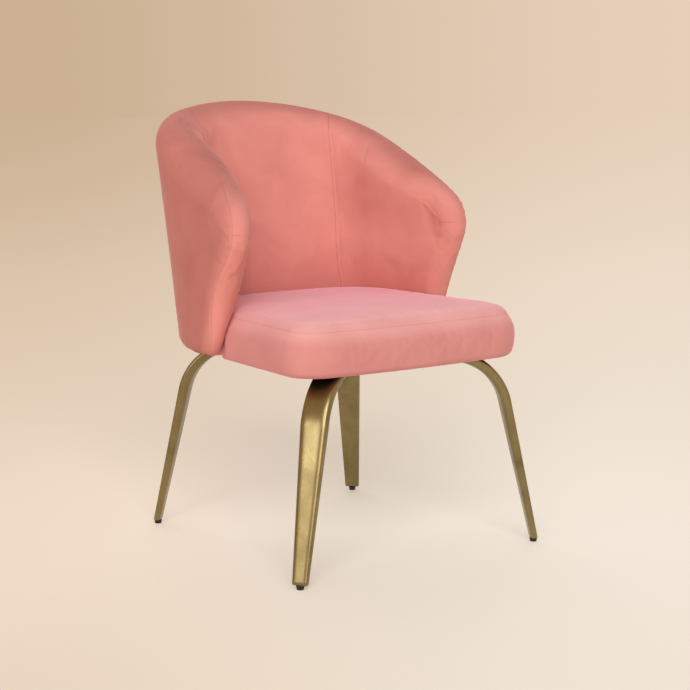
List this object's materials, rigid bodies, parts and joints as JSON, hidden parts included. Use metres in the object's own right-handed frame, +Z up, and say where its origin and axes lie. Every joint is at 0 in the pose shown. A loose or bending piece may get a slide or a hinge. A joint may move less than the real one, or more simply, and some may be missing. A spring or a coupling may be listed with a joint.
{
  "type": "upholstered armchair",
  "caption": "Upholstered tub armchair: a padded shell sweeps from rounded arm fronts up to a high back round a boxed seat, on splayed, tapered metal legs with small feet.",
  "frame": {"origin": "on the floor, below the centre of the bounding box seen from above, with the feet screwed right in", "axes": "+Z up, -Y to where the sitter faces, +X to the sitter's left"},
  "size_m": [0.5542, 0.6458, 0.822],
  "materials": {
    "velvet": "soft velvet pile",
    "foam": "moulded upholstery foam",
    "plywood": "unfinished plywood",
    "dust_cloth": "black non-woven cloth",
    "brass": "satin brass-coloured plating on tube",
    "black_steel": "black powder coat",
    "zinc_steel": "zinc plated",
    "nylon": "black nylon"
  },
  "bodies": {
    "chair": {"shell_cover_outer": "velvet", "shell_cover_inner_right": "velvet", "shell_cover_inner_centre": "velvet", "shell_cover_inner_left": "velvet", "seat_cover_top": "velvet", "seat_cover_boxing": "velvet", "shell_foam": "foam", "seat_foam": "foam", "shell_plywood": "plywood", "seat_board": "plywood", "seat_dust_cover": "dust_cloth", "leg_front_left": "brass", "leg_plate_front_left": "black_steel", "leg_plug_front_left": "nylon", "leg_bolt_front_left_1": "zinc_steel", "leg_tee_nut_front_left_1": "zinc_steel", "leg_bolt_front_left_2": "zinc_steel", "leg_tee_nut_front_left_2": "zinc_steel", "leg_bolt_front_left_3": "zinc_steel", "leg_tee_nut_front_left_3": "zinc_steel", "leg_front_right": "brass", "leg_plate_front_right": "black_steel", "leg_plug_front_right": "nylon", "leg_bolt_front_right_1": "zinc_steel", "leg_tee_nut_front_right_1": "zinc_steel", "leg_bolt_front_right_2": "zinc_steel", "leg_tee_nut_front_right_2": "zinc_steel", "leg_bolt_front_right_3": "zinc_steel", "leg_tee_nut_front_right_3": "zinc_steel", "leg_rear_left": "brass", "leg_plate_rear_left": "black_steel", "leg_plug_rear_left": "nylon", "leg_bolt_rear_left_1": "zinc_steel", "leg_tee_nut_rear_left_1": "zinc_steel", "leg_bolt_rear_left_2": "zinc_steel", "leg_tee_nut_rear_left_2": "zinc_steel", "leg_bolt_rear_left_3": "zinc_steel", "leg_tee_nut_rear_left_3": "zinc_steel", "leg_rear_right": "brass", "leg_plate_rear_right": "black_steel", "leg_plug_rear_right": "nylon", "leg_bolt_rear_right_1": "zinc_steel", "leg_tee_nut_rear_right_1": "zinc_steel", "leg_bolt_rear_right_2": "zinc_steel", "leg_tee_nut_rear_right_2": "zinc_steel", "leg_bolt_rear_right_3": "zinc_steel", "leg_tee_nut_rear_right_3": "zinc_steel", "shell_bracket_left": "zinc_steel", "shell_bracket_right": "zinc_steel", "shell_bracket_rear_left": "zinc_steel", "shell_bracket_rear_right": "zinc_steel"},
    "glide_front_left": {"glide_pad_front_left": "nylon", "glide_stem_front_left": "zinc_steel"},
    "glide_front_right": {"glide_pad_front_right": "nylon", "glide_stem_front_right": "zinc_steel"},
    "glide_rear_left": {"glide_pad_rear_left": "nylon", "glide_stem_rear_left": "zinc_steel"},
    "glide_rear_right": {"glide_pad_rear_right": "nylon", "glide_stem_rear_right": "zinc_steel"}
  },
  "joints": [
    {"name": "glide_front_left_travel", "type": "slide", "parent": "chair", "child": "glide_front_left", "axis": [0, 0, -1], "range_m": [0, 0.005]},
    {"name": "glide_front_right_travel", "type": "slide", "parent": "chair", "child": "glide_front_right", "axis": [0, 0, -1], "range_m": [0, 0.005]},
    {"name": "glide_rear_left_travel", "type": "slide", "parent": "chair", "child": "glide_rear_left", "axis": [0, 0, -1], "range_m": [0, 0.005]},
    {"name": "glide_rear_right_travel", "type": "slide", "parent": "chair", "child": "glide_rear_right", "axis": [0, 0, -1], "range_m": [0, 0.005]}
  ]
}
